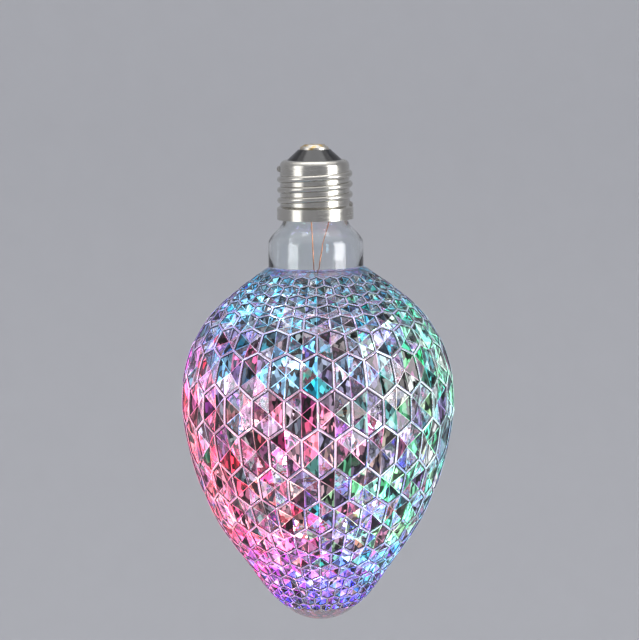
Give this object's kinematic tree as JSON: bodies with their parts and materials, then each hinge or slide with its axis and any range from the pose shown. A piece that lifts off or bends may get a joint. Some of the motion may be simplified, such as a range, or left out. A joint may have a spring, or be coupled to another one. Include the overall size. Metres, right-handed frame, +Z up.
{
  "type": "decorative led light bulb",
  "caption": "Strawberry-shaped clear honeycomb light bulb with a wire string of coloured LEDs inside, lit and held by a standard screw cap.",
  "frame": {"origin": "centre of the cap's open rim, where the screw cap meets the glass", "axes": "+Z up the bulb's axis through the cap, as it hangs; -Y is the front"},
  "size_m": [0.0952, 0.0956, 0.1679],
  "materials": {
    "clear_glass": "clear, pressed pattern, polished",
    "cap_metal": "nickel-plated sheet, rolled",
    "cap_glass": "black vitreous insulator",
    "contact_brass": "tinned brass",
    "cement": "matte basing cement",
    "white_plastic": "moulded, satin",
    "board_laminate": "solder-resist on laminate",
    "chip_plastic": "moulded epoxy",
    "capacitor_can": "sleeved can",
    "resistor_coat": "lacquered",
    "solder": "bright solder",
    "copper_wire": "enamelled copper",
    "lead_sleeve_red": "extruded sleeve",
    "lead_sleeve_black": "extruded sleeve",
    "led_red": "clear moulded drop over a lit chip",
    "led_pink": "clear moulded drop over a lit chip",
    "led_green": "clear moulded drop over a lit chip",
    "led_teal": "clear moulded drop over a lit chip",
    "led_blue": "clear moulded drop over a lit chip",
    "led_violet": "clear moulded drop over a lit chip"
  },
  "bodies": {
    "root": {"basing_cement": "cement", "board_holder": "white_plastic", "cap_insulator": "cap_glass", "centre_contact": "contact_brass", "chip_resistors": "chip_plastic", "driver_board": "board_laminate", "driver_chip": "chip_plastic", "envelope": "clear_glass", "fuse_resistor": "resistor_coat", "led_blue_16": "led_blue", "led_blue_2": "led_blue", "led_blue_22": "led_blue", "led_green_13": "led_green", "led_green_17": "led_green", "led_green_4": "led_green", "led_green_8": "led_green", "led_pink_11": "led_pink", "led_pink_15": "led_pink", "led_pink_18": "led_pink", "led_pink_23": "led_pink", "led_pink_7": "led_pink", "led_pink_9": "led_pink", "led_red_10": "led_red", "led_red_14": "led_red", "led_red_19": "led_red", "led_teal_1": "led_teal", "led_teal_12": "led_teal", "led_teal_21": "led_teal", "led_teal_5": "led_teal", "led_violet_20": "led_violet", "led_violet_3": "led_violet", "led_violet_6": "led_violet", "live_lead": "lead_sleeve_red", "neutral_lead": "lead_sleeve_black", "rectifier": "chip_plastic", "screw_shell": "cap_metal", "smoothing_capacitor": "capacitor_can", "solder_joints": "solder", "string_wire_a": "copper_wire", "string_wire_b": "copper_wire"}
  },
  "joints": []
}
